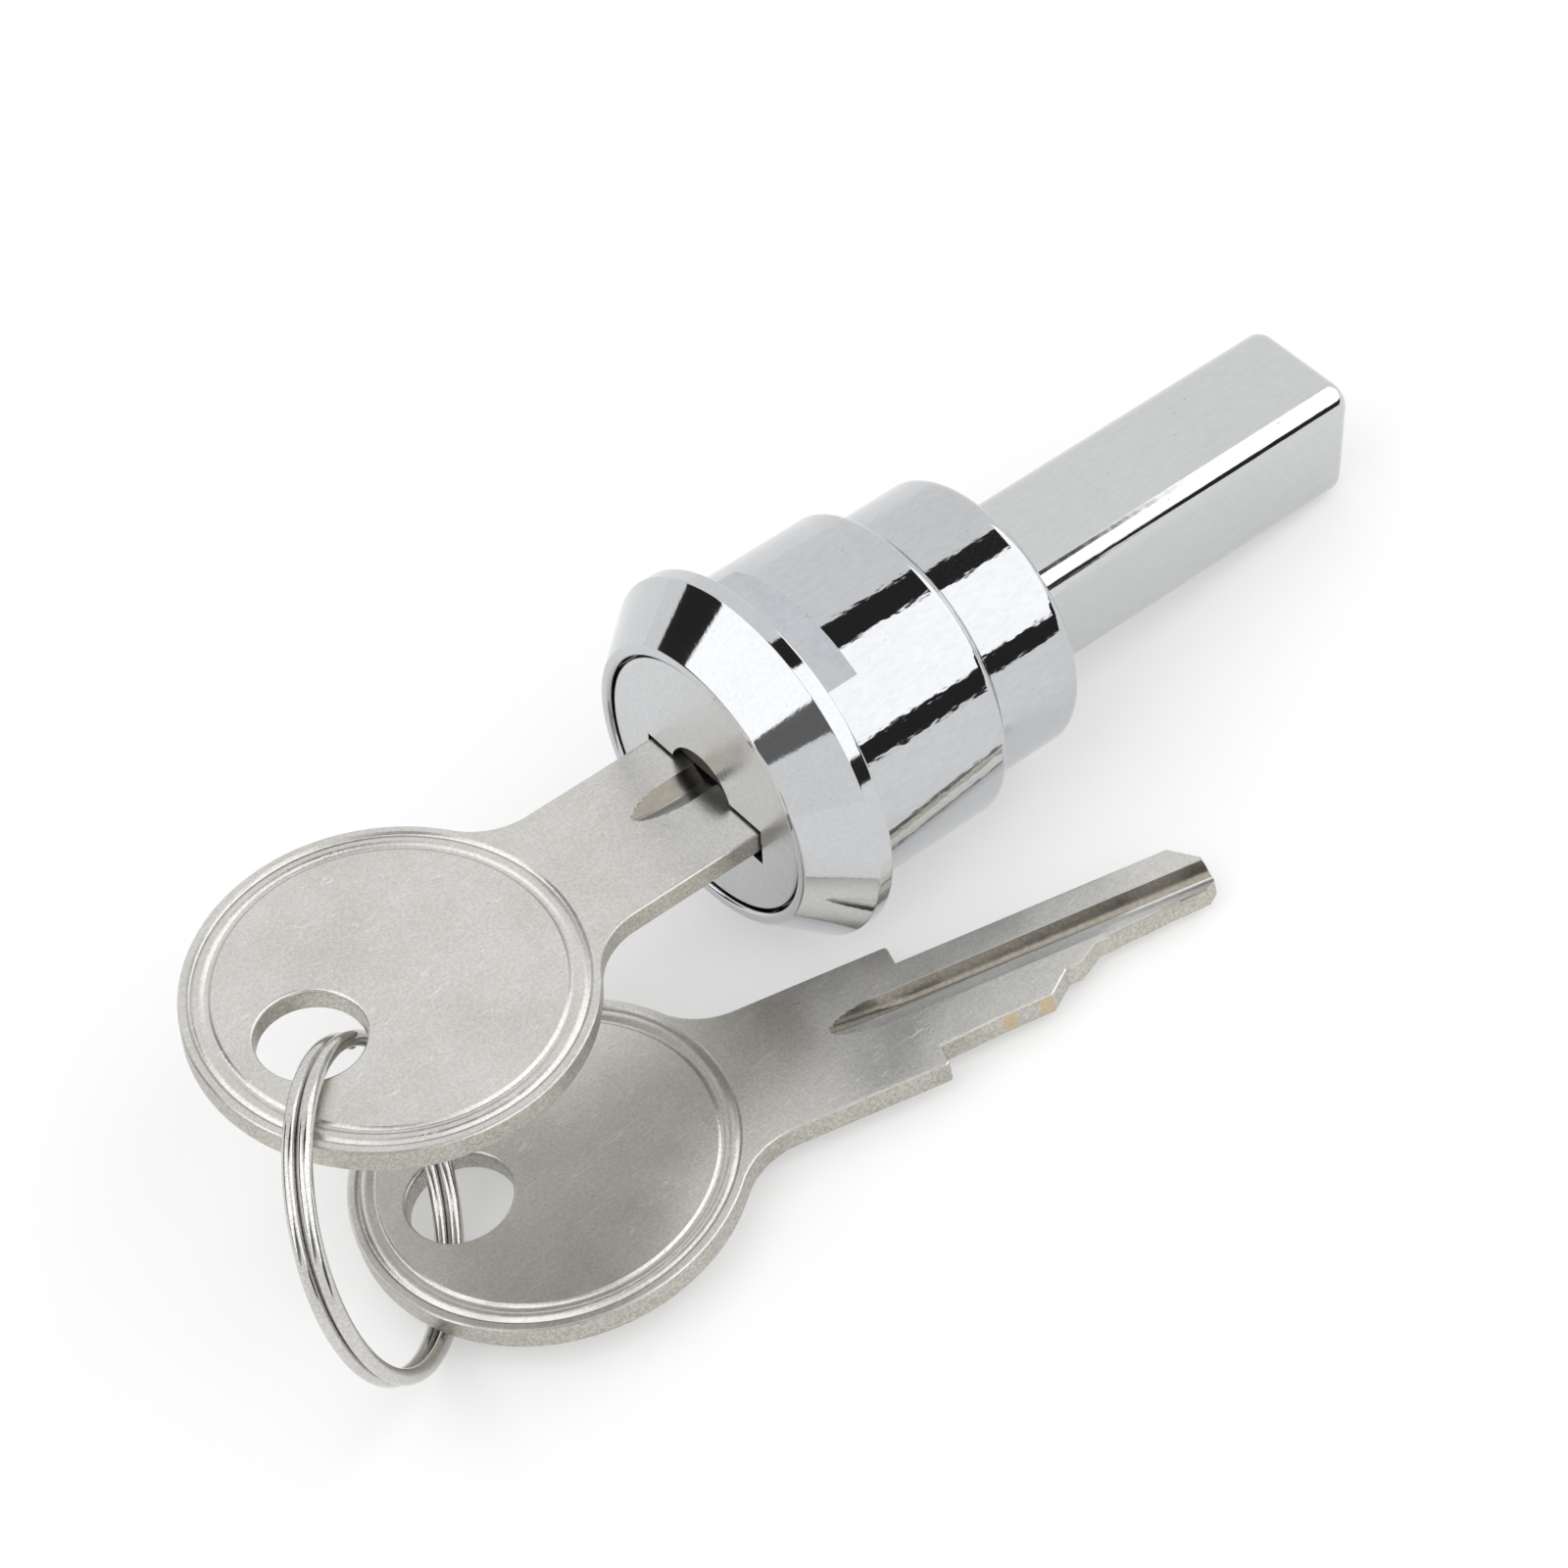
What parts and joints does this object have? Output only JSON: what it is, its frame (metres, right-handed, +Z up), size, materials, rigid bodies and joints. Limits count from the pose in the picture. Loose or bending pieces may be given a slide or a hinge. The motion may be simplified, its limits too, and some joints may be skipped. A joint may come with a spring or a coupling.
{
  "type": "hitch pin lock",
  "caption": "Cylindrical wafer lock with a flared bezel and a square drive bar behind it, a key in its face and a spare key beside it on a split ring.",
  "frame": {"origin": "on the table that the part lies on, below the middle of its bounding box", "axes": "+X along the lock's heading on the table, from its face towards the bar's tip; +Z up off the table; +Y to the left of +X. The lock's own axis dips 10 degrees below +X, because it lies on the bezel's rim and the bar's tip"},
  "size_m": [0.0899, 0.0345, 0.0248],
  "materials": {
    "housing": "bright chrome plate on a die-cast housing",
    "plug": "bright chrome plate on a die-cast plug",
    "bar": "bright chrome plate with soft cast edges",
    "key": "satin nickel plate over brass, lightly scratched",
    "ring": "bright nickel-plated spring steel wire",
    "wafer_brass": "plain punched brass",
    "spring_steel": "plain spring wire",
    "pin_steel": "plain ground pin",
    "clip_steel": "black phosphate"
  },
  "bodies": {
    "barrel": {"lock_body": "housing", "stop_pin": "pin_steel", "retaining_ring": "clip_steel"},
    "plug_unit": {"plug": "plug", "retainer": "wafer_brass", "retainer_spring": "spring_steel", "drive_bar": "bar", "wafer_spring_1": "spring_steel", "wafer_spring_2": "spring_steel", "wafer_spring_3": "spring_steel", "wafer_spring_4": "spring_steel", "wafer_spring_5": "spring_steel", "wafer_spring_6": "spring_steel"},
    "wafer_1_unit": {"wafer_1": "wafer_brass"},
    "wafer_2_unit": {"wafer_2": "wafer_brass"},
    "wafer_3_unit": {"wafer_3": "wafer_brass"},
    "wafer_4_unit": {"wafer_4": "wafer_brass"},
    "wafer_5_unit": {"wafer_5": "wafer_brass"},
    "wafer_6_unit": {"wafer_6": "wafer_brass"},
    "first_key": {"key_1": "key"},
    "ring": {"split_ring": "ring"},
    "second_key": {"key_2": "key"}
  },
  "joints": [
    {"name": "plug_turn", "type": "hinge", "parent": "barrel", "child": "plug_unit", "pos_m": [-0.00073, 0.00478, 0.01227], "axis": [0.9847, 0, -0.1743], "range_deg": [0, 90]},
    {"name": "key_slide", "type": "slide", "parent": "plug_unit", "child": "first_key", "axis": [-0.9847, 0, 0.1743], "range_m": [0, 0.024]},
    {"name": "ring_swing", "type": "hinge", "parent": "first_key", "child": "ring", "pos_m": [-0.03344, 0.00387, 0.01731], "axis": [0.5964, 0.4141, -0.6877], "range_deg": [0, 20]},
    {"name": "second_key_travel", "type": "hinge", "parent": "ring", "child": "second_key", "pos_m": [-0.03707, -0.00238, 0.0104], "axis": [-0.7164, 0.661, -0.2233], "range_deg": [0, 50]},
    {"name": "wafer_1_slide", "type": "slide", "parent": "plug_unit", "child": "wafer_1_unit", "axis": [0, 1, 0], "range_m": [0, 0.0008]},
    {"name": "wafer_2_slide", "type": "slide", "parent": "plug_unit", "child": "wafer_2_unit", "axis": [0, 1, 0], "range_m": [0, 0.0008]},
    {"name": "wafer_3_slide", "type": "slide", "parent": "plug_unit", "child": "wafer_3_unit", "axis": [0, 1, 0], "range_m": [0, 0.0008]},
    {"name": "wafer_4_slide", "type": "slide", "parent": "plug_unit", "child": "wafer_4_unit", "axis": [0, 1, 0], "range_m": [0, 0.0008]},
    {"name": "wafer_5_slide", "type": "slide", "parent": "plug_unit", "child": "wafer_5_unit", "axis": [0, 1, 0], "range_m": [0, 0.0008]},
    {"name": "wafer_6_slide", "type": "slide", "parent": "plug_unit", "child": "wafer_6_unit", "axis": [0, 1, 0], "range_m": [0, 0.0008]}
  ],
  "couplings": [
    {"joint": "wafer_1_slide", "follows": "key_slide", "ratio": 0.0333},
    {"joint": "wafer_2_slide", "follows": "key_slide", "ratio": 0.0333},
    {"joint": "wafer_3_slide", "follows": "key_slide", "ratio": 0.0333},
    {"joint": "wafer_4_slide", "follows": "key_slide", "ratio": 0.0333},
    {"joint": "wafer_5_slide", "follows": "key_slide", "ratio": 0.0333},
    {"joint": "wafer_6_slide", "follows": "key_slide", "ratio": 0.0333}
  ]
}
